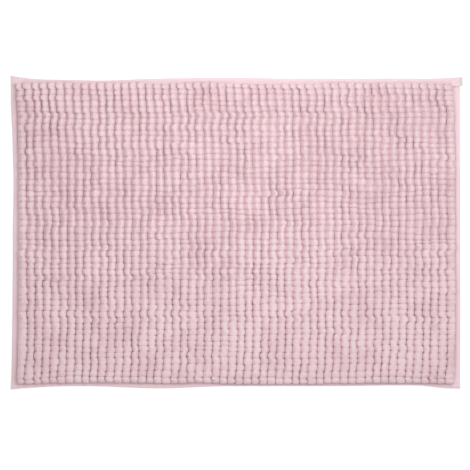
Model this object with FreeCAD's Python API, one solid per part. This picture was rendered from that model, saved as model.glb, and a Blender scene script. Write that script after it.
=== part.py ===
import FreeCAD, Part
import os

from FreeCAD import Vector

# A tufted chenille bath mat. It lies flat: X runs along its length, Y along its width and
# Z up out of the pile. Its underside is at z = 0. Every length is in millimetres.

# The mat's plan
LENGTH = 600.0            # between the middles of the two short edges
WIDTH = 412.0             # between the middles of the two long edges
LONG_EDGE_RUN = 52.0      # length over which a long edge eases out to its corner
SHORT_EDGE_RUN = 110.0    # length over which a short edge eases out to its corner

# The hems: the base cloth's own margins, folded under and stitched down
HEM_WIDTH = 12.0          # width of the turned-under lip
HEM_END_REACH = 3.5       # how far the open end of the back hem sticks out past the right edge
FOLD_RADIUS = 0.9         # rounding of the folded edge, above and below

# The layers, from the floor up
BACKING_THICKNESS = 1.0
CLOTH_THICKNESS = 1.2
CLOTH_TOP = BACKING_THICKNESS + CLOTH_THICKNESS

# The pile: rows of plump tufts that run across the width, each row one chenille yarn
ROW_COUNT = 54
ROW_PITCH = 10.85
ROW_GAP = 0.25            # between the tufts of two neighbouring rows
TUFTS_PER_ROW = 50
TUFT_PITCH = 8.06
CREASE_DEPTH = 0.9        # how far a row draws in between two of its tufts
PILE_HEIGHT = 12.0

# The stitching that holds the hems, in straight lines close beside the pile
THREAD_WIDTH = 0.7
THREAD_HEIGHT = 0.4
SEAM_TO_PILE = 0.7        # gap between a seam and the tufts
SEAM_TO_SEAM = 0.3        # gap where one seam stops beside another
SEAM_TO_EDGE = 2.0        # from a seam's open end to the straight middle of the edge

# Each corner's side of the mat along X and Y, and how far it stands out past the straight
# middle of its short edge and of its long edge
BACK_LEFT = (-1, 1, 2.7, 5.3)
BACK_RIGHT = (1, 1, 0.5, 2.5)
FRONT_RIGHT = (1, -1, 1.0, 2.5)
FRONT_LEFT = (-1, -1, 2.7, 4.0)


def corner_point(corner, inset):
    """A corner of the mat, moved in by inset from both of its edges."""
    side_x, side_y, flare_x, flare_y = corner
    x = side_x * (LENGTH / 2 + flare_x - inset)
    y = side_y * (WIDTH / 2 + flare_y - inset)
    return Vector(x, y, 0)


def eased_edge(start, end, along, middle, run):
    """One edge between two corners: an arc, a straight run on the edge's middle line, and an arc.

    along is the edge's unit direction, and middle is any point on its middle line.
    """
    across = Vector(-along.y, along.x, 0)

    def on_line(corner, distance):
        """The point of the middle line that lies distance along the edge from a corner."""
        return corner + along * distance + across * (middle - corner).dot(across)

    def half_way(corner, foot):
        """A point half-way through the arc, three quarters of the way in to the middle line."""
        reach = (foot - corner).dot(across)
        return corner + along * ((foot - corner).dot(along) / 2) + across * (0.75 * reach)

    first = on_line(start, run)
    last = on_line(end, -run)
    return [
        Part.Arc(start, half_way(start, first), first).toShape(),
        Part.makeLine(first, last),
        Part.Arc(last, half_way(end, last), end).toShape(),
    ]


def long_edge(left, right, inset):
    """The curves of a long edge, from its left corner to its right one."""
    start = corner_point(left, inset)
    end = corner_point(right, inset)
    middle = Vector(0, left[1] * (WIDTH / 2 - inset), 0)
    return eased_edge(start, end, Vector(1, 0, 0), middle, LONG_EDGE_RUN)


def short_edge(front, back, inset):
    """The curves of a short edge, from its front corner to its back one."""
    start = corner_point(front, inset)
    end = corner_point(back, inset)
    middle = Vector(front[0] * (LENGTH / 2 - inset), 0, 0)
    return eased_edge(start, end, Vector(0, 1, 0), middle, SHORT_EDGE_RUN)


def face_of(curves):
    """The flat face inside a closed run of curves given in any order."""
    return Part.Face(Part.Wire(Part.__sortEdges__(curves)))


def mat_plan(inset):
    """The mat's outline moved in by inset, as a face."""
    curves = long_edge(FRONT_LEFT, FRONT_RIGHT, inset)
    curves += long_edge(BACK_LEFT, BACK_RIGHT, inset)
    curves += short_edge(FRONT_LEFT, BACK_LEFT, inset)
    curves += short_edge(FRONT_RIGHT, BACK_RIGHT, inset)
    return face_of(curves)


def plate(plan, bottom, thickness):
    """A flat layer of the given plan."""
    return plan.translated(Vector(0, 0, bottom)).extrude(Vector(0, 0, thickness))


def hem_end():
    """The open end of the back hem, which sticks out past the mat's right edge."""
    tip = corner_point(BACK_RIGHT, 0)
    block = Part.makeBox(HEM_END_REACH + HEM_WIDTH, HEM_WIDTH, CLOTH_TOP)
    return block.translated(Vector(tip.x - HEM_WIDTH, tip.y - HEM_WIDTH, 0))


def rounded_folds(cloth):
    """The cloth with its outer edges rounded where the hems fold."""
    tolerance = 0.01
    folds = []
    for edge in cloth.Edges:
        box = edge.BoundBox
        level = box.ZMax < tolerance or box.ZMin > CLOTH_TOP - tolerance
        if level:
            folds.append(edge)
    return cloth.makeFillet(FOLD_RADIUS, folds)


def base_cloth():
    """The woven cloth that holds the tufts, with its margins turned under round the backing."""
    cloth = plate(mat_plan(0), 0, CLOTH_TOP).fuse(hem_end()).removeSplitter()
    return rounded_folds(cloth).cut(plate(mat_plan(HEM_WIDTH), 0, BACKING_THICKNESS))


def anti_slip_backing():
    """The coating on the cloth's underside, inside the hems."""
    return plate(mat_plan(HEM_WIDTH), 0, BACKING_THICKNESS)


def thread(left, right, front, back):
    """One straight seam that lies on top of the cloth."""
    corner = Vector(left, front, CLOTH_TOP)
    return Part.makeBox(right - left, back - front, THREAD_HEIGHT, corner)


def hem_threads():
    """The four seams by name. The back one is sewn last, and the front one stops at the side ones."""
    side = ROW_COUNT * ROW_PITCH / 2 + SEAM_TO_PILE
    end = TUFTS_PER_ROW * TUFT_PITCH / 2 + SEAM_TO_PILE
    far_side = side + THREAD_WIDTH
    far_end = end + THREAD_WIDTH
    edge_x = LENGTH / 2 - SEAM_TO_EDGE
    edge_y = WIDTH / 2 - SEAM_TO_EDGE
    front_stop = side - SEAM_TO_SEAM
    back_stop = end - SEAM_TO_SEAM
    return {
        "hem_thread_back": thread(-edge_x, edge_x, end, far_end),
        "hem_thread_front": thread(-front_stop, front_stop, -far_end, -end),
        "hem_thread_left": thread(-far_side, -side, -edge_y, back_stop),
        "hem_thread_right": thread(side, far_side, -edge_y, back_stop),
    }


def scallops(side):
    """One side of a row seen from above: out and in again for each tuft. side is 1 or -1."""
    half_width = (ROW_PITCH - ROW_GAP) / 2
    crease = side * (half_width - CREASE_DEPTH)
    bulge = side * half_width
    lines = []
    for tuft in range(TUFTS_PER_ROW):
        start = (tuft - TUFTS_PER_ROW / 2) * TUFT_PITCH
        widest = Vector(bulge, start + TUFT_PITCH / 2, 0)
        lines.append(Part.makeLine(Vector(crease, start, 0), widest))
        lines.append(Part.makeLine(widest, Vector(crease, start + TUFT_PITCH, 0)))
    return lines


def chenille_row():
    """One row of tufts on x = 0: upright sides from the cloth up, and rounded tops."""
    right = scallops(1)
    left = scallops(-1)
    front_tip = Vector(0, -TUFTS_PER_ROW * TUFT_PITCH / 2, 0)
    back_tip = Vector(0, TUFTS_PER_ROW * TUFT_PITCH / 2, 0)
    half_ends = [
        Part.makeLine(front_tip, right[0].firstVertex().Point),
        Part.makeLine(right[-1].lastVertex().Point, back_tip),
    ]
    whole_ends = [
        Part.makeLine(left[0].firstVertex().Point, right[0].firstVertex().Point),
        Part.makeLine(right[-1].lastVertex().Point, left[-1].lastVertex().Point),
    ]
    axis_line = Part.makeLine(front_tip, back_tip)
    half_plan = face_of(right + half_ends + [axis_line])
    tops = half_plan.revolve(Vector(0, 0, 0), Vector(0, -1, 0), 180)
    axis_height = PILE_HEIGHT - (ROW_PITCH - ROW_GAP) / 2
    sides = face_of(left + right + whole_ends).extrude(Vector(0, 0, -axis_height))
    row = tops.fuse(sides).removeSplitter()
    return row.translated(Vector(0, 0, CLOTH_TOP + axis_height))


def all_pieces():
    """Every piece of the mat by its node's name."""
    pieces = {
        "base_cloth": base_cloth(),
        "anti_slip_backing": anti_slip_backing(),
    }
    pieces.update(hem_threads())
    row = chenille_row()
    for number in range(1, ROW_COUNT + 1):
        x = (number - (ROW_COUNT + 1) / 2) * ROW_PITCH
        pieces["chenille_row_%02d" % number] = row.translated(Vector(x, 0, 0))
    return pieces


def main():
    """Writes every piece with the middle of the mat's underside at the origin."""
    os.makedirs("parts", exist_ok=True)
    pieces = all_pieces()
    box = pieces["base_cloth"].optimalBoundingBox()
    to_origin = Vector(-box.Center.x, -box.Center.y, 0)
    for name, shape in pieces.items():
        shape.translated(to_origin).exportStep("parts/%s.step" % name)


main()
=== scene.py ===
"""A pale pink chenille bath mat, finished round its CAD frame.

Everything is in metres in the CAD frame: X along the mat, Y along its rows of tufts, Z up.
"""

import math

import bpy
import numpy as np
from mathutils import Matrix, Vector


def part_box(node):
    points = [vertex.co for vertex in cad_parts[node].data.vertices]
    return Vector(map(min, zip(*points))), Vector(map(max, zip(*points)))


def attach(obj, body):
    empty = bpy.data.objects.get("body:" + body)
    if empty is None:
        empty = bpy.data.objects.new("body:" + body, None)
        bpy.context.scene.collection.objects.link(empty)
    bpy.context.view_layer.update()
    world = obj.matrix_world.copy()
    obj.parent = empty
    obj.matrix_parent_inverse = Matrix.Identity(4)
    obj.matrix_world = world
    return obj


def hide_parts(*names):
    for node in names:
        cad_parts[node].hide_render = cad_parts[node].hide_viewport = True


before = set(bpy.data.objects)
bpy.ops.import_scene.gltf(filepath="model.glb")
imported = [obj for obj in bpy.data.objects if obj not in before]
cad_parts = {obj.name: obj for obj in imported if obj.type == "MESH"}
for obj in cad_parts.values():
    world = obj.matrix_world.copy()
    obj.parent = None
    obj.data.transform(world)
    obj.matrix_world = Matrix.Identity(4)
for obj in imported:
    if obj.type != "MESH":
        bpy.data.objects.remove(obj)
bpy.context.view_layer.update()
MM = 0.001
random = np.random.default_rng(54)

# The rows of tufts
ROWS = sorted(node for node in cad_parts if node.startswith("chenille_row_"))
TUFTS_PER_ROW = 50
ROW_LOW, ROW_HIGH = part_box(ROWS[0])
LAST_LOW, LAST_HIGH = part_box(ROWS[-1])
ROW_PITCH = (LAST_LOW.x - ROW_LOW.x) / (len(ROWS) - 1)
PILE_LEFT = (ROW_LOW.x + ROW_HIGH.x - ROW_PITCH) / 2
PILE_FRONT = ROW_LOW.y
PILE_WIDTH = ROW_HIGH.y - ROW_LOW.y
PILE_TOP = ROW_HIGH.z
ROW_GAP = 0.10 * MM           # between two rows
# The rings of a tuft, as shares of its length: they stand closer together near its creases
RINGS_PER_TUFT = 8
RING_SHARES = (1 - np.cos(math.pi * np.arange(RINGS_PER_TUFT) / RINGS_PER_TUFT)) / 2
# The points of a ring: on the rounded top, as shares of its half width, and down one side to the
# foot, as shares of the row's half width and of the side's height
TOP_POINTS = 15
TOP_ACROSS = np.sin(np.linspace(math.pi / 2, -math.pi / 2, TOP_POINTS))
SIDE = np.array([(1.0, 1.0), (0.97, 0.52), (0.80, 0.16), (0.60, 0.0)])

# The shape of the tufts. The pile is densest at the front and loosest at the back, and each pair
# is a value at the front and one at the back.
DENSE_SHARE = 0.7             # of the pile's width, from the front, over which it loosens
DOME_SHARE = (0.30, 0.39)     # the rounded top's share of a tuft's height
DOME_EXPONENT = (3.2, 2.7)    # of the rounded top: 2 is a parabola, and more is boxier
TUFT_WIDTH = (0.92, 0.82)     # a tuft's width over the row's width
TUFT_VARIETY = (0.05, 0.08)   # and how much wider or narrower it may be
CREASE_WIDTH = (0.70, 0.40)   # the width of the crease between two tufts over the row's width
CREASE_DROP = (0.3 * MM, 2.1 * MM)  # how far a crease lies below the tufts beside it
TUFT_SHOULDER = (0.65, 0.46)  # the height of a tuft's side, as a share of the tuft's height
CREASE_SHOULDER = (0.30, 0.39)
# How a tuft swells between its two creases: 0.5 is a round bulge, and more is pointed
TUFT_ROUNDNESS = 0.55         # seen from above
CREST_ROUNDNESS = 0.70        # seen from the side
SHOULDER_ROUNDNESS = 0.6
TOP_MARGIN = 0.9 * MM         # from the usual tuft's top up to the pile's highest point
TOP_SWING = 0.30 * MM         # how far the tops of a few neighbouring tufts rise and fall together
OWN_TOP_SWING = 0.35 * MM     # and each alone

# The ends and the outer sides of the pile
END_TAPER = 1.6 * MM          # how much lower the first and last tufts of a row are
END_WIDTH = 0.65              # a row's width at its two ends over its full width
END_HEIGHT = 4.5 * MM         # and its height there
END_STRETCH = 4.5 * MM        # the stretch at each end of a row that lies open to the side
# The outer side of the first and of the last row over their inner side
FLANK_TOP = 1.04              # how far its rounded top reaches out
FLANK_SHOULDER = 0.80         # and how high its side is

# How the rows lean over, sideways
MIDDLE_LEAN = 1.7 * MM        # in the middle of their length
BACK_LEAN = -6.8 * MM         # how much further they lean at the back edge
BACK_LEAN_RUN = 130 * MM      # and the length over which they straighten
FRONT_LEAN = -4.2 * MM
FRONT_LEAN_RUN = 110 * MM
FOOT_SWAY = 0.35              # how far the foot of a row goes along with its top

# How far the tufts stray sideways: all that lie side by side together, a few together, and each alone
SWING = (0.55 * MM, 0.98 * MM)
BAND_SWING = (0.42 * MM, 0.76 * MM)
OWN_SWING = 0.45 * MM
ROW_VARIETY = 0.45 * MM       # how far the edges of a row stray for a good part of its length
OUTER_CALM = 0.5              # how far the pile's outer sides stray over how far the gaps inside do
STEP_SHARE = 0.6              # of a tuft's length, over which a gap steps from one tuft to the next
CREASE_SWING = 1.05 * MM      # how far the creases of a few neighbouring rows stray along them
OWN_CREASE_SWING = 0.45 * MM  # and each crease alone
END_CALM = 0.6                # how far the ends of the rows stray over how far the creases do

# The yarn's surface. A pair is the height of some ripples and their usual length.
LUMPS = (0.20 * MM, 4.0 * MM)
FINE_LUMPS = (0.14 * MM, 2.2 * MM)
TWIST_HEIGHT = 0.14 * MM      # of the yarn's twist, which shows as slanting ridges on the tufts
TWIST_PITCH = 3.0 * MM
TWIST_WANDER = (0.6 * MM, 7.0 * MM)
MOST_LUMP = 0.6 * MM
RIPPLE_COUNT = 14             # the waves that make up some ripples
RIPPLE_SPREAD = (0.7, 1.5)    # and the shortest and longest of them over their usual length

# The cloth's plan
CLOTH_LOW, CLOTH_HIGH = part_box("base_cloth")
CLOTH_TOP = ROW_LOW.z
BACKING_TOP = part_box("anti_slip_backing")[1].z
HEM_WIDTH = 12.0 * MM
HEM_END_REACH = 3.5 * MM      # how far the open end of the back hem sticks out past the right edge
HEM_END_RUN = 5.0 * MM        # and the length over which it comes out
HEM_END_STEP = 0.3 * MM       # the width of the step at its inner side
LONG_EDGE_RUN = 52.0 * MM     # the length over which a long edge eases out to its corner
LONG_EDGE_EASE = 2            # the exponent of that curve
SHORT_EDGE_RUN = 110.0 * MM
SHORT_EDGE_EASE = 1.4
# How far each corner stands out past its short edge and its long edge
BACK_LEFT = (2.7 * MM, 5.3 * MM)
BACK_RIGHT = (0.5 * MM, 2.5 * MM)
FRONT_RIGHT = (1.0 * MM, 2.5 * MM)
FRONT_LEFT = (2.7 * MM, 4.0 * MM)
LEFT = CLOTH_LOW.x + BACK_LEFT[0]
RIGHT = CLOTH_HIGH.x - HEM_END_REACH - BACK_RIGHT[0]
FRONT = CLOTH_LOW.y + FRONT_LEFT[1]
BACK = CLOTH_HIGH.y - BACK_LEFT[1]
LENGTH = RIGHT - LEFT
WIDTH = BACK - FRONT
# The gentle waves of the edges: each one's middle and half width as shares of its edge, and how
# far it stands out there
BACK_WAVES = (
    (0.20, 0.12, -1.3 * MM),
    (0.47, 0.30, 2.2 * MM),
    (0.85, 0.30, 1.3 * MM),
)
FRONT_WAVES = (
    (0.05, 0.08, 1.3 * MM),
    (0.33, 0.16, 2.9 * MM),
    (0.86, 0.14, -1.0 * MM),
    (0.965, 0.06, 2.0 * MM),
)
LEFT_WAVES = (
    (0.25, 0.20, 0.6 * MM),
    (0.64, 0.14, -0.9 * MM),
    (0.90, 0.12, 1.0 * MM),
)
RIGHT_WAVES = (
    (0.23, 0.20, 0.6 * MM),
    (0.50, 0.55, 1.0 * MM),
)

# The relief of the hems
FOLD_HOLD = 1.0 * MM          # how far in from its fold the cloth keeps the fold's round shape
HEM_REACH = 14.0 * MM         # how far in from its fold the cloth is uneven
HEM_BLEND = 4.0 * MM          # the width over which hems fade into the cloth beside them
HEM_PUFF = 0.6 * MM           # how far the folded edge swells between its fold and its seam
HEM_LIFT = 0.15 * MM          # how far the hems' underside stands off the floor
PUCKER = (0.12 * MM, 10 * MM)  # the height and length of its puckers
CORNER_RISE = 1.2 * MM        # where two hems cross
LIP_STEP = 0.4 * MM           # the width of the step up to the open end of the back hem
CORNER_TUCK = 1.8 * MM        # how far the right hem dips where it tucks under that open end
TUCK_PLACE = 0.7 * MM         # from the lip of the back hem to the deepest line of the tuck
TUCK_WIDTH = 0.6 * MM
SEAM_DEPTH = 1.1 * MM         # how deep a seam would pull in a hem as wide as the lip turned under
SEAM_GROOVE = 1.1 * MM        # the half width of the groove it pulls
CLOTH_SPACING = 6.0 * MM      # of the mesh's lines under the pile
NEARLY_ZERO = 1e-6

# The coating
COATING_GRID = (320, 150)     # the mesh's lines along and across it
COATING_GAP = 0.05 * MM       # between it and the cloth above, and the floor below
COATING_BASE = 0.45           # its thickness between two ribs over its thickness at a rib
RIB_ROUNDNESS = 0.8
RIB_DIMPLE = 0.25             # how deep a rib dips between two tufts, as a share of its height
RIB_START = 1.0 * MM          # how far in from the hems the ribs reach their height

# The stitching
SEAMS = sorted(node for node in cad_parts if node.startswith("hem_thread_"))
STITCH_PITCH = 3.0 * MM
STITCH_LENGTH = 2.7 * MM
STITCH_WIDTH = 0.55 * MM
STITCH_FLATNESS = 0.8         # its thickness over its width
STITCH_TIP = 0.1              # the thinnest a stitch gets at its ends, as a share of its section
STITCH_RINGS = 7
STITCH_SIDES = 6
# The height of a stitch's ends, and how far its middle stands out from them
UPPER_STITCH = (CLOTH_TOP - 0.3 * MM, 0.2 * MM)
LOWER_STITCH = (0.45 * MM, -0.15 * MM)


# Numbers

def smooth_step(value):
    """A value held between 0 and 1, with a smooth start and end."""
    value = np.clip(value, 0, 1)
    return value * value * (3 - 2 * value)


def within(distance, limit, blend):
    """1 where a distance is under a limit and 0 where it is over it, with a blend between."""
    return smooth_step((limit - distance) / blend + 0.5)


def between(pair, share):
    """A value that goes from the first of a pair to the second."""
    return pair[0] + (pair[1] - pair[0]) * share


def own_values(size):
    """Random values of about unit spread, none of them far out."""
    return random.normal(size=size).clip(-2, 2)


def shared_values(size, along=0, across=0):
    """Random values of unit spread that neighbours share.

    Each is averaged with its neighbours, so many times along the rows and so many across them.
    """
    values = random.normal(size=size)
    for axis, passes in enumerate((along, across)):
        for _ in range(passes):
            values = (np.roll(values, 1, axis) + 2 * values + np.roll(values, -1, axis)) / 4
    return (values - values.mean()) / values.std()


def ripples(points, size, wavelength):
    """A smooth random height for each point: a sum of waves of about one length."""
    height = np.zeros(len(points))
    for _ in range(RIPPLE_COUNT):
        direction = random.normal(size=3)
        length = wavelength * random.uniform(*RIPPLE_SPREAD)
        direction *= 2 * math.pi / (length * np.linalg.norm(direction))
        height += np.sin(points @ direction + random.uniform(0, 2 * math.pi))
    return size * (height / math.sqrt(RIPPLE_COUNT / 2))


# Meshes

def new_piece(name, points, faces, material):
    """A smooth-shaded mesh object."""
    mesh = bpy.data.meshes.new(name)
    mesh.from_pydata(np.asarray(points).tolist(), [], faces)
    mesh.shade_smooth()
    mesh.materials.append(material)
    piece = bpy.data.objects.new(name, mesh)
    bpy.context.scene.collection.objects.link(piece)
    return piece


def add_values(piece, name, values):
    """Stores one number for each point, for the material to read."""
    attribute = piece.data.attributes.new(name, "FLOAT", "POINT")
    attribute.data.foreach_set("value", np.asarray(values, np.float32).ravel())


def piece_points(piece):
    """The place of every point of a piece."""
    places = np.empty(len(piece.data.vertices) * 3)
    piece.data.vertices.foreach_get("co", places)
    return places.reshape(-1, 3)


def soft_piece(piece, node):
    """Puts a piece in place of its CAD node."""
    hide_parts(node)
    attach(piece, "root")


def ring_faces(rings, size):
    """Quads between neighbouring rings of a closed tube whose points run ring by ring."""
    ring, point = np.meshgrid(np.arange(rings - 1), np.arange(size), indexing="ij")
    after = (point + 1) % size
    this_ring = ring * size
    next_ring = (ring + 1) * size
    quads = [this_ring + point, this_ring + after, next_ring + after, next_ring + point]
    return np.stack(quads, axis=-1).reshape(-1, 4).tolist()


def fan_faces(first, size, centre, outward):
    """Triangles from one ring to its centre point."""
    faces = []
    for point in range(size):
        edge = (first + point, first + (point + 1) % size)
        faces.append((*edge, centre) if outward else (*edge[::-1], centre))
    return faces


def layer(name, top, bottom, material):
    """A closed layer between two grids of points that are the same all round their edge."""
    count = top.shape[0] * top.shape[1]
    above = np.arange(count).reshape(top.shape[:2])
    below = above.copy()
    inner = bottom[1:-1, 1:-1]
    below[1:-1, 1:-1] = count + np.arange(inner.shape[0] * inner.shape[1]).reshape(inner.shape[:2])
    points = np.concatenate([top.reshape(-1, 3), inner.reshape(-1, 3)])

    def quads(i):
        """The grid's quads, as the numbers of their four corners."""
        return np.stack([i[:-1, :-1], i[1:, :-1], i[1:, 1:], i[:-1, 1:]], axis=-1).reshape(-1, 4)

    faces = np.concatenate([quads(above), quads(below)[:, ::-1]])
    return new_piece(name, points, faces.tolist(), material)


# The layout of the pile

def lean(y):
    """How far the rows lean sideways at each distance along them."""
    from_back = np.clip(1 - (PILE_FRONT + PILE_WIDTH - y) / BACK_LEAN_RUN, 0, 1)
    from_front = np.clip(1 - (y - PILE_FRONT) / FRONT_LEAN_RUN, 0, 1)
    return MIDDLE_LEAN + BACK_LEAN * from_back ** 2 + FRONT_LEAN * from_front ** 2


def looseness(y):
    """How loose the pile is at each distance along the rows: 0 at the front, 1 over its back part."""
    return smooth_step((y - PILE_FRONT) / (DENSE_SHARE * PILE_WIDTH))


def row_gaps():
    """The X of each gap between two rows, and of the pile's outer sides, beside every tuft."""
    size = (TUFTS_PER_ROW, len(ROWS) + 1)
    along = PILE_FRONT + PILE_WIDTH * (np.arange(TUFTS_PER_ROW) + 0.5) / TUFTS_PER_ROW
    loose = looseness(along)[:, None]
    stray = between(SWING, loose) * own_values((TUFTS_PER_ROW, 1))
    stray = stray + between(BAND_SWING, loose) * shared_values(size, across=4)
    stray = stray + ROW_VARIETY * shared_values(size, along=12)
    stray = stray + OWN_SWING * own_values(size)
    stray = stray - stray.mean(axis=0)
    stray[:, [0, -1]] *= OUTER_CALM
    straight = PILE_LEFT + ROW_PITCH * np.arange(len(ROWS) + 1)
    return straight[None, :] + lean(along)[:, None] + stray


def tuft_creases():
    """The Y of each crease between two tufts of a row, and of the row's two ends."""
    size = (TUFTS_PER_ROW + 1, len(ROWS))
    even = PILE_FRONT + PILE_WIDTH * np.arange(TUFTS_PER_ROW + 1) / TUFTS_PER_ROW
    stray = CREASE_SWING * shared_values(size, along=1, across=8)
    stray = stray + OWN_CREASE_SWING * own_values(size)
    stray[[0, -1]] *= END_CALM
    return even[:, None] + stray


def tuft_tops():
    """The height of the top of every tuft."""
    size = (TUFTS_PER_ROW, len(ROWS))
    tops = PILE_TOP - TOP_MARGIN + TOP_SWING * shared_values(size, along=3, across=3)
    tops = tops + OWN_TOP_SWING * own_values(size)
    tops[[0, -1]] -= END_TAPER
    return tops


def pile_layout():
    """Where each gap between rows and each crease between tufts lies, and how high each tuft stands."""
    gaps = row_gaps()
    creases = tuft_creases()
    return gaps, creases, tuft_tops()


def follow(line, along):
    """A gap's place at any distance along the rows: straight beside a tuft, stepping at its creases."""
    place = (along - PILE_FRONT) / PILE_WIDTH * TUFTS_PER_ROW - 0.5
    before = np.clip(np.floor(place).astype(int), 0, TUFTS_PER_ROW - 1)
    after = np.clip(before + 1, 0, TUFTS_PER_ROW - 1)
    share = smooth_step((place - np.floor(place) - 0.5) / STEP_SHARE + 0.5)
    return line[before] * (1 - share) + line[after] * share


# The rows

def tuft_bulge(sharpness):
    """How far each tuft has swelled, from 0 at its two creases to 1 in its middle.

    The rings of all tufts, one line for each tuft. The first and the last are round at the row's ends.
    """
    from_middle = 2 * RING_SHARES - 1
    bulge = np.repeat((1 - from_middle[None, :] ** 2) ** sharpness, TUFTS_PER_ROW, axis=0)
    rounded = np.sqrt(1 - from_middle ** 2)
    bulge[0] = np.where(from_middle < 0, rounded, bulge[0])
    bulge[-1] = np.where(from_middle > 0, rounded, bulge[-1])
    return bulge


def along_row(creased, full, sharpness):
    """A value on every ring of a row, from its values at the creases and in the middles of the tufts."""
    near = np.arange(TUFTS_PER_ROW)[:, None] + (RING_SHARES >= 0.5)[None, :]
    grown = creased[near] + (full[:, None] - creased[near]) * tuft_bulge(sharpness)
    return np.append(grown.ravel(), creased[-1])


def tuft_rings(layout, row):
    """Values for every ring of a row.

    They are its place, its width over the row's, the height of its top, the height of its side as a
    share of that, its looseness, and how far it has grown to the row's full width at the row's ends.
    """
    _, creases, tops = layout
    ends = creases[:, row]
    top = tops[:, row]
    loose = looseness(ends)
    tuft_loose = loose[1:]
    lower_top = np.minimum(np.append(top, top[-1]), np.insert(top, 0, top[0]))
    crease_top = lower_top - between(CREASE_DROP, loose ** 2)
    crease_top[[0, -1]] = CLOTH_TOP + END_HEIGHT
    variety = between(TUFT_VARIETY, tuft_loose) * random.uniform(-1, 1, TUFTS_PER_ROW)
    width = between(TUFT_WIDTH, tuft_loose) + variety
    shoulder = between(TUFT_SHOULDER, tuft_loose)
    end_width = np.ones(TUFTS_PER_ROW + 1)
    end_width[[0, -1]] = END_WIDTH
    place = (ends[:-1, None] + np.diff(ends)[:, None] * RING_SHARES).ravel()
    return (
        np.append(place, ends[-1]),
        along_row(between(CREASE_WIDTH, loose), width, TUFT_ROUNDNESS),
        along_row(crease_top, top, CREST_ROUNDNESS),
        along_row(between(CREASE_SHOULDER, loose), shoulder, SHOULDER_ROUNDNESS),
        along_row(loose, tuft_loose, 1.0),
        along_row(end_width, np.ones(TUFTS_PER_ROW), 1.0),
    )


def ring_shape(row, width, shoulder, loose):
    """The points of every ring, as shares of the row's half width and of the ring's height.

    The rounded top comes first, then one side down to the foot, then the other side up again.
    """
    fall = np.abs(TOP_ACROSS)[None, :] ** between(DOME_EXPONENT, loose)[:, None]
    top_x = width[:, None] * TOP_ACROSS
    top_up = 1 - between(DOME_SHARE, loose)[:, None] * fall
    side_x = np.concatenate([-SIDE[:, 0], SIDE[::-1, 0]])
    side_x = np.repeat(side_x[None, :], len(width), axis=0)
    side_up = shoulder[:, None] * np.concatenate([SIDE[:, 1], SIDE[::-1, 1]])
    for outer_row, outward in ((0, -1), (len(ROWS) - 1, 1)):
        if row == outer_row:
            top_x = np.where(outward * top_x > 0, FLANK_TOP * top_x, top_x)
            side_up = np.where(outward * side_x > 0, FLANK_SHOULDER * side_up, side_up)
    return np.concatenate([top_x, side_x], axis=1), np.concatenate([top_up, side_up], axis=1)


def lumpy(points, share):
    """The points moved out and in a little, by a share for each point of a ring."""
    flat = points.reshape(-1, 3)
    lump = ripples(flat, *LUMPS) + ripples(flat, *FINE_LUMPS)
    twist = (flat[:, 0] + flat[:, 1] + ripples(flat, *TWIST_WANDER)) * 2 * math.pi / TWIST_PITCH
    lump = lump + TWIST_HEIGHT * np.sin(twist)
    lump = np.clip(lump, -MOST_LUMP, MOST_LUMP).reshape(points.shape[:2]) * share[None, :]
    outward = points - points.mean(axis=1, keepdims=True)
    outward = outward / np.linalg.norm(outward, axis=-1, keepdims=True)
    return points + outward * lump[:, :, None]


def row_points(layout, row):
    """The skin of one row, ring by ring."""
    gaps = layout[0]
    along, width, top, shoulder, loose, end_width = tuft_rings(layout, row)
    left = follow(gaps[:, row], along) + ROW_GAP / 2
    right = follow(gaps[:, row + 1], along) - ROW_GAP / 2
    half = (right - left) / 2 * end_width
    across, up = ring_shape(row, width, shoulder, loose)
    foot = PILE_LEFT + ROW_PITCH * (row + 0.5)
    sway = FOOT_SWAY + (1 - FOOT_SWAY) * up
    x = foot + across * half[:, None] + ((left + right) / 2 - foot)[:, None] * sway
    y = np.repeat(along[:, None], x.shape[1], axis=1)
    z = CLOTH_TOP + up * (top - CLOTH_TOP)[:, None]
    lump_share = np.append(1 - TOP_ACROSS ** 4, np.zeros(2 * len(SIDE)))
    return lumpy(np.stack([x, y, z], axis=-1), lump_share)


def pile_depth(points):
    """How deep each place lies in the pile: 0 at its top and on its outer sides, 1 at the cloth. The
    pile's colour pales with it, as painted light in its gaps and creases.
    """
    x, y, z = points.T
    inside = (x > PILE_LEFT + ROW_PITCH / 2) & (x < LAST_HIGH.x - ROW_PITCH / 2)
    inside = inside & (np.abs(y - PILE_FRONT - PILE_WIDTH / 2) < PILE_WIDTH / 2 - END_STRETCH)
    return np.clip((PILE_TOP - z) / (PILE_TOP - CLOTH_TOP), 0, 1) * inside


def build_row(row, layout, material):
    """One chenille yarn, looped into a row of plump tufts."""
    points = row_points(layout, row)
    rings, size = points.shape[:2]
    tips = np.array([points[0].mean(0), points[-1].mean(0)])
    faces = ring_faces(rings, size)
    faces += fan_faces(0, size, rings * size, True)
    faces += fan_faces((rings - 1) * size, size, rings * size + 1, False)
    name = ROWS[row].replace("chenille_row", "tufted_row")
    piece = new_piece(name, np.concatenate([points.reshape(-1, 3), tips]), faces, material)
    tuft = np.minimum(np.arange(rings) // RINGS_PER_TUFT, TUFTS_PER_ROW - 1)
    tone = random.uniform(0, 1, TUFTS_PER_ROW)[tuft]
    add_values(piece, "tone", np.append(np.repeat(tone, size), [tone[0], tone[-1]]))
    # How deep each point lies, for the painted light that pales the pile's colour in its gaps and creases
    add_values(piece, "depth", pile_depth(piece_points(piece)))
    soft_piece(piece, ROWS[row])


# The cloth's plan

def ease(distance, flare, run, exponent):
    """How far an edge stands out at a distance from its corner."""
    return flare * np.clip(1 - distance / run, 0, 1) ** exponent


def waves(share, bumps):
    """How far an edge stands out in its waves, at each share of its length."""
    height = 0
    for middle, half_width, size in bumps:
        height = height + size * (1 + np.cos(math.pi * np.clip((share - middle) / half_width, -1, 1))) / 2
    return height


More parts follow.
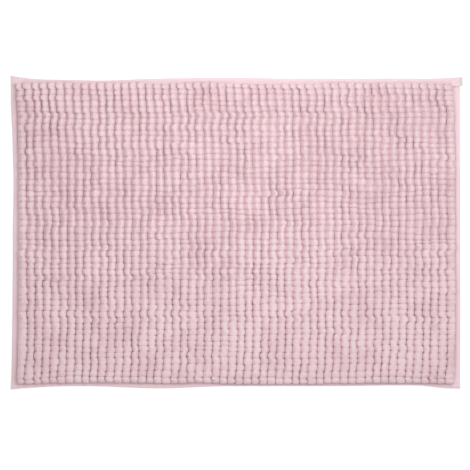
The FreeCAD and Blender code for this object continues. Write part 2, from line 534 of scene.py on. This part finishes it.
def short_side(t, front_flare, back_flare, bumps):
    """How far a short edge stands out at each share of the width."""
    front = ease(t * WIDTH, front_flare, SHORT_EDGE_RUN, SHORT_EDGE_EASE)
    back = ease((1 - t) * WIDTH, back_flare, SHORT_EDGE_RUN, SHORT_EDGE_EASE)
    return front + back + waves(t, bumps)


def long_side(s, left_flare, right_flare, bumps):
    """How far a long edge stands out at each share of the length."""
    left = ease(s * LENGTH, left_flare, LONG_EDGE_RUN, LONG_EDGE_EASE)
    right = ease((1 - s) * LENGTH, right_flare, LONG_EDGE_RUN, LONG_EDGE_EASE)
    return left + right + waves(s, bumps)


def plan(s, t):
    """The place on the mat at shares s of its length and t of its width, as X and Y."""
    left = LEFT - short_side(t, FRONT_LEFT[0], BACK_LEFT[0], LEFT_WAVES)
    right = RIGHT + short_side(t, FRONT_RIGHT[0], BACK_RIGHT[0], RIGHT_WAVES)
    front = FRONT - long_side(s, FRONT_LEFT[1], FRONT_RIGHT[1], FRONT_WAVES)
    back = BACK + long_side(s, BACK_LEFT[1], BACK_RIGHT[1], BACK_WAVES)
    return left + (right - left) * s, front + (back - front) * t


def insets(s, t):
    """Distances from the nearest short edge and from the nearest long edge."""
    return np.minimum(s, 1 - s) * LENGTH, np.minimum(t, 1 - t) * WIDTH


def hem_end(s, t):
    """How far the open end of the back hem sticks out past the right edge."""
    on_back_hem = within((1 - t) * WIDTH, HEM_WIDTH, HEM_END_STEP)
    near_right = within((1 - s) * LENGTH, HEM_END_RUN / 2, HEM_END_RUN)
    return HEM_END_REACH * on_back_hem * near_right


# The cloth's relief

def seam_line(node):
    """The middle of a seam, as its X and Y at one end and at the other."""
    low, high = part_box(node)
    if high.x - low.x > high.y - low.y:
        middle = (low.y + high.y) / 2
        return np.array([(low.x, middle), (high.x, middle)])
    middle = (low.x + high.x) / 2
    return np.array([(middle, low.y), (middle, high.y)])


def groove(x, y, from_short, from_long):
    """How far the stitches pull the cloth down: the wider a hem, the deeper."""
    depth = np.zeros_like(x)
    for node in SEAMS:
        start, end = seam_line(node)
        along_side = start[0] == end[0]
        aside, inset = (x - start[0], from_short) if along_side else (y - start[1], from_long)
        pull = SEAM_DEPTH * (inset / HEM_WIDTH) ** 2 * np.exp(-(aside / SEAM_GROOVE) ** 2)
        depth = np.maximum(depth, pull)
    return depth


def past_seams(x, y):
    """How far each place lies outside the seams: 0 for every place inside them."""
    left = seam_line("hem_thread_left")[0, 0]
    right = seam_line("hem_thread_right")[0, 0]
    front = seam_line("hem_thread_front")[0, 1]
    back = seam_line("hem_thread_back")[0, 1]
    past_side = np.maximum(left - x, x - right)
    past_end = np.maximum(front - y, y - back)
    return np.hypot(np.maximum(past_side, 0), np.maximum(past_end, 0))


def crossed_hems(s, t):
    """How far the cloth rises where a side hem crosses the front or the back one.

    At the open end of the back hem it rises in one step, and the right hem dips there to tuck under it.
    """
    from_short, from_long = insets(s, t)
    on_side_hem = within(from_short, HEM_WIDTH, HEM_BLEND)
    on_end_hem = within(from_long, HEM_WIDTH, HEM_BLEND)
    on_lip = within(from_long, HEM_WIDTH, LIP_STEP)
    from_tuck = from_long - HEM_WIDTH - TUCK_PLACE
    tuck = CORNER_TUCK * np.exp(-(from_tuck / TUCK_WIDTH) ** 2) * (1 - on_lip)
    at_open_end = (s > 0.5) & (t > 0.5)
    return np.where(at_open_end, CORNER_RISE * on_lip - tuck, CORNER_RISE * on_end_hem) * on_side_hem


def hem_height(s, t):
    """The cloth's top above the flat: it swells outside the seams and rises where two hems cross."""
    x, y = plan(s, t)
    from_short, from_long = insets(s, t)
    outside = past_seams(x, y)
    share = outside / np.maximum(outside + np.minimum(from_short, from_long), NEARLY_ZERO)
    swell = HEM_PUFF * np.sin(math.pi * share)
    return swell - groove(x, y, from_short, from_long) + crossed_hems(s, t)


def folded_edge(inset, radius):
    """How far a folded edge of that radius has drawn in, above and below, near the fold."""
    return radius * (1 - np.sqrt(1 - (1 - np.clip(inset / radius, 0, 1)) ** 2))


def grid_lines(length, near):
    """Shares of a length: lines at the distances near from both ends, and even ones between."""
    inner_count = round((length - 2 * near[-1]) / CLOTH_SPACING)
    inner = np.linspace(near[-1], length - near[-1], inner_count)
    return np.concatenate([near[:-1], inner, (length - near[:-1])[::-1]]) / length


def build_cloth(material):
    """The woven cloth: flat under the pile, with its margins turned under and stitched down."""
    fold_lines = [0, 0.1, 0.3, 0.6, 1.0, 1.5]
    hem_lines = np.arange(2.0, 11.6, 0.5)
    lip_lines = [11.7, 11.9, 12.1, 12.3, 12.5, 12.7, 13.0, 13.4, 14.0]
    near = np.concatenate([fold_lines, hem_lines, lip_lines]) * MM
    s, t = np.meshgrid(grid_lines(LENGTH, near), grid_lines(WIDTH, near), indexing="ij")
    x, y = plan(s, t)
    x = x + hem_end(s, t)
    inset = np.minimum(*insets(s, t))
    fold = folded_edge(inset, CLOTH_TOP / 2)
    uneven = smooth_step(inset / FOLD_HOLD) * within(inset, HEM_REACH, HEM_BLEND)
    flat = np.stack([x, y, np.zeros_like(x)], axis=-1).reshape(-1, 3)
    pucker = ripples(flat, *PUCKER).reshape(x.shape)
    top = CLOTH_TOP - fold + (hem_height(s, t) + pucker) * uneven
    above_coating = BACKING_TOP * (inset > HEM_WIDTH)
    bottom = fold + above_coating + np.clip(HEM_LIFT + pucker, 0, None) * uneven
    cloth = layer("woven_cloth", np.stack([x, y, top], -1), np.stack([x, y, bottom], -1), material)
    bare = smooth_step(hem_end(s, t) / HEM_END_REACH)
    add_values(cloth, "bare", np.append(bare.ravel(), bare[1:-1, 1:-1].ravel()))
    soft_piece(cloth, "base_cloth")


def build_backing(material):
    """The coating under the cloth, with a low rib below every row and a dimple between its tufts."""
    short = HEM_WIDTH / LENGTH
    long = HEM_WIDTH / WIDTH
    columns, lines = COATING_GRID
    shares_along = np.linspace(short, 1 - short, columns)
    shares_across = np.linspace(long, 1 - long, lines)
    s, t = np.meshgrid(shares_along, shares_across, indexing="ij")
    x, y = plan(s, t)
    row = (x - PILE_LEFT) / ROW_PITCH
    tuft = (y - PILE_FRONT) / PILE_WIDTH * TUFTS_PER_ROW
    rib = np.abs(np.sin(math.pi * row)) ** RIB_ROUNDNESS
    rib = rib * (1 - RIB_DIMPLE + RIB_DIMPLE * np.abs(np.sin(math.pi * tuft)))
    risen = smooth_step((np.minimum(*insets(s, t)) - HEM_WIDTH) / RIB_START)
    top = BACKING_TOP - COATING_GAP
    bottom = top - (top - COATING_GAP) * (COATING_BASE + (1 - COATING_BASE) * rib * risen)
    bottom[[0, -1], :] = top
    bottom[:, [0, -1]] = top
    above = np.stack([x, y, np.full_like(x, top)], -1)
    below = np.stack([x, y, bottom], -1)
    backing = layer("rubber_coating", above, below, material)
    soft_piece(backing, "anti_slip_backing")


# The stitching

def stitch_points(start, end, lift):
    """Rings round one stitch, a thread that dips into the cloth at its two ends."""
    share = np.linspace(-1, 1, STITCH_RINGS)
    middle = start + (end - start) * (share[:, None] + 1) / 2
    thick = np.sqrt(np.clip(1 - share ** 4, STITCH_TIP, 1)) * STITCH_WIDTH / 2
    along = (end - start) / np.linalg.norm(end - start)
    side = np.cross((0, 0, 1), along)
    up = np.array((0, 0, STITCH_FLATNESS))
    angle = 2 * math.pi * np.arange(STITCH_SIDES) / STITCH_SIDES
    ring = np.cos(angle)[:, None] * side + np.sin(angle)[:, None] * up
    arch = (lift * (1 - share ** 2))[:, None, None] * np.array((0, 0, 1))
    return middle[:, None, :] + thick[:, None, None] * ring[None] + arch


def build_thread(node, path, material):
    """One seam: a lockstitch along a path of points on the cloth, seen above and below it."""
    points, faces = [], []
    for start, end in zip(path[:-1], path[1:]):
        margin = (end - start) * (1 - STITCH_LENGTH / STITCH_PITCH) / 2
        for height, lift in (UPPER_STITCH, LOWER_STITCH):
            level = np.array((0, 0, height))
            rings = stitch_points(start + margin + level, end - margin + level, lift)
            first = len(points)
            size = rings.shape[1]
            last = first + (len(rings) - 1) * size
            points += rings.reshape(-1, 3).tolist()
            points += [rings[0].mean(0).tolist(), rings[-1].mean(0).tolist()]
            faces += [[first + corner for corner in face] for face in ring_faces(len(rings), size)]
            faces += fan_faces(first, size, last + size, True)
            faces += fan_faces(last, size, last + size + 1, False)
    thread = new_piece(node.replace("hem_thread", "stitching"), points, faces, material)
    soft_piece(thread, node)


def build_seams(material):
    """The four seams that hold the hems."""
    for node in SEAMS:
        start, end = seam_line(node)
        stitches = round(np.linalg.norm(end - start) / STITCH_PITCH)
        share = np.linspace(0, 1, stitches + 1)[:, None]
        path = np.append(start + (end - start) * share, np.zeros_like(share), axis=1)
        build_thread(node, path, material)


# Materials

def feed(material, socket, value):
    """Links an input of a material's node to another node's output, or sets it to a value."""
    if isinstance(value, bpy.types.NodeSocket):
        material.node_tree.links.new(value, socket)
    else:
        socket.default_value = value


def add_node(material, kind, inputs, **settings):
    """A new node of a material, with its settings and its inputs by name or number."""
    node = material.node_tree.nodes.new("ShaderNode" + kind)
    for name, value in settings.items():
        setattr(node, name, value)
    for name, value in inputs.items():
        feed(material, node.inputs[name], value)
    return node


def finish(material, inputs):
    """Sets or links inputs of a material's surface shader by name."""
    shader = material.node_tree.nodes["Principled BSDF"]
    for name, value in inputs.items():
        feed(material, shader.inputs[name], value)


def new_material(name):
    """A material made of nodes."""
    material = bpy.data.materials.new(name)
    material.use_nodes = True
    return material


def texture(material, kind, inputs, **settings):
    """How light or dark a texture is at each place of the object."""
    place = add_node(material, "TexCoord", {}).outputs["Object"]
    return add_node(material, "Tex" + kind, {"Vector": place, **inputs}, **settings).outputs["Fac"]


def stored(material, name):
    """A value that is stored on the points of the piece."""
    return add_node(material, "Attribute", {}, attribute_name=name).outputs["Fac"]


def weighted(material, value, weight, other):
    """One value times a weight, plus another value."""
    inputs = {0: value, 1: weight, 2: other}
    return add_node(material, "Math", inputs, operation="MULTIPLY_ADD").outputs[0]


def ramp(material, value, low, high, start=0):
    """A colour that goes from low to high as a value goes from start to 1."""
    node = add_node(material, "ValToRGB", {"Fac": value})
    first, last = node.color_ramp.elements
    first.position = start
    first.color = low
    last.color = high
    return node.outputs["Color"]


def mixed(material, share, color, other):
    """A colour that goes over to another one with a share from 0 to 1."""
    inputs = {"Factor": share, "A": color, "B": other}
    return add_node(material, "Mix", inputs, data_type="RGBA").outputs["Result"]


def relief(material, height, strength, distance):
    """The direction of a surface with small relief."""
    inputs = {"Height": height, "Strength": strength, "Distance": distance}
    return add_node(material, "Bump", inputs).outputs["Normal"]


def chenille_material():
    """Matt microfibre pile: fine fibres that lie every way, a little uneven in tone, with painted light
    that makes it paler deeper in the pile.
    """
    material = new_material("chenille")
    fibres = texture(material, "Noise", {"Scale": 1500, "Detail": 3})
    patches = texture(material, "Noise", {"Scale": 25})
    shade = weighted(material, stored(material, "tone"), 0.15, patches)
    speckle = weighted(material, fibres, 0.6, shade)
    top_color = ramp(material, speckle, (0.735, 0.517, 0.558, 1), (0.84, 0.647, 0.685, 1), start=0.55)
    # Deeper in the pile the colour goes over to a paler pink: painted light that lightens the gaps and
    # creases between the tufts
    color = mixed(material, stored(material, "depth"), top_color, (0.87, 0.695, 0.73, 1))
    rough = add_node(material, "MapRange", {"Value": fibres, "To Min": 0.82, "To Max": 1.0})
    finish(material, {
        "Base Color": color,
        "Roughness": rough.outputs["Result"],
        "Normal": relief(material, fibres, 0.8, 0.25 * MM),
        "Sheen Weight": 0.25,
        "Sheen Roughness": 0.8,
        "Sheen Tint": (0.95, 0.80, 0.83, 1),
        "Specular IOR Level": 0.15,
    })
    return material


def cloth_material():
    """Plain weave in the same pink, and its greyer reverse at the open end of the back hem."""
    material = new_material("base_cloth")
    yarns = {"Scale": 320, "Distortion": 0.6}
    warp = texture(material, "Wave", yarns, bands_direction="X")
    weft = texture(material, "Wave", yarns, bands_direction="Y")
    weave = add_node(material, "Math", {0: warp, 1: weft}, operation="MAXIMUM").outputs[0]
    face = ramp(material, weave, (0.81, 0.605, 0.645, 1), (0.89, 0.70, 0.74, 1))
    finish(material, {
        "Base Color": mixed(material, stored(material, "bare"), face, (0.70, 0.62, 0.635, 1)),
        "Roughness": 0.8,
        "Normal": relief(material, weave, 0.4, 0.1 * MM),
        "Sheen Weight": 0.2,
        "Specular IOR Level": 0.2,
    })
    return material


def rubber_material():
    """An off-white coating with the grain of the weave in it."""
    material = new_material("backing")
    grain = texture(material, "Noise", {"Scale": 700})
    finish(material, {
        "Base Color": ramp(material, grain, (0.70, 0.64, 0.60, 1), (0.84, 0.80, 0.77, 1)),
        "Roughness": 0.6,
        "Normal": relief(material, grain, 0.5, 0.15 * MM),
    })
    return material


def thread_material():
    """Twisted sewing thread."""
    material = new_material("thread")
    twist = texture(material, "Wave", {"Scale": 700}, bands_direction="DIAGONAL")
    finish(material, {
        "Base Color": ramp(material, twist, (0.80, 0.60, 0.64, 1), (0.90, 0.72, 0.755, 1)),
        "Roughness": 0.6,
        "Normal": relief(material, twist, 0.5, 0.08 * MM),
    })
    return material


def floor_material():
    """A plain white floor that glows a little."""
    material = new_material("floor")
    finish(material, {
        "Base Color": (0.9, 0.9, 0.9, 1),
        "Roughness": 0.9,
        "Emission Color": (1, 1, 1, 1),
        "Emission Strength": 0.3,
    })
    return material


# The studio

def build_floor():
    """A wide floor just under the mat."""
    reach = 4
    drop = 0.2 * MM
    signs = ((-1, -1), (1, -1), (1, 1), (-1, 1))
    corners = [(reach * x, reach * y, -drop) for x, y in signs]
    new_piece("floor", corners, [(0, 1, 2, 3)], floor_material())


def add_lamp(name, place, size, power):
    """A square lamp that points at the mat."""
    lamp = bpy.data.lights.new(name, "AREA")
    lamp.size = size
    lamp.energy = power
    holder = bpy.data.objects.new(name, lamp)
    holder.location = place
    direction = -holder.location.normalized()
    holder.rotation_euler = direction.to_track_quat("-Z", "Y").to_euler()
    bpy.context.scene.collection.objects.link(holder)


def build_lights():
    """Soft light from all round, one lamp above the back of the mat, and two from the sides."""
    world = bpy.data.worlds.new("studio")
    world.use_nodes = True
    sky = world.node_tree.nodes["Background"]
    sky.inputs["Color"].default_value = (1, 1, 1, 1)
    sky.inputs["Strength"].default_value = 0.54
    bpy.context.scene.world = world
    add_lamp("overhead", place=(0.03, 0.19, 0.60), size=0.5, power=1.9)
    add_lamp("key", place=(1.0, 0.30, 1.2), size=0.8, power=4.8)
    add_lamp("fill", place=(-0.7, -0.7, 1.0), size=0.8, power=0.7)


def build_camera():
    """Straight above the mat, a little off its middle."""
    distance = 6.0
    view_width = 631.6 * MM
    camera = bpy.data.cameras.new("camera")
    camera.sensor_width = 36
    camera.lens = camera.sensor_width * distance / view_width
    holder = bpy.data.objects.new("camera", camera)
    holder.location = (-2.3 * MM, -3.7 * MM, distance)
    bpy.context.scene.collection.objects.link(holder)
    bpy.context.scene.camera = holder


def main():
    """Builds the mat and the studio round it."""
    layout = pile_layout()
    pile = chenille_material()
    for row in range(len(ROWS)):
        build_row(row, layout, pile)
    build_cloth(cloth_material())
    build_backing(rubber_material())
    build_seams(thread_material())
    build_floor()
    build_lights()
    build_camera()
    bpy.context.scene.view_settings.view_transform = "Standard"


main()
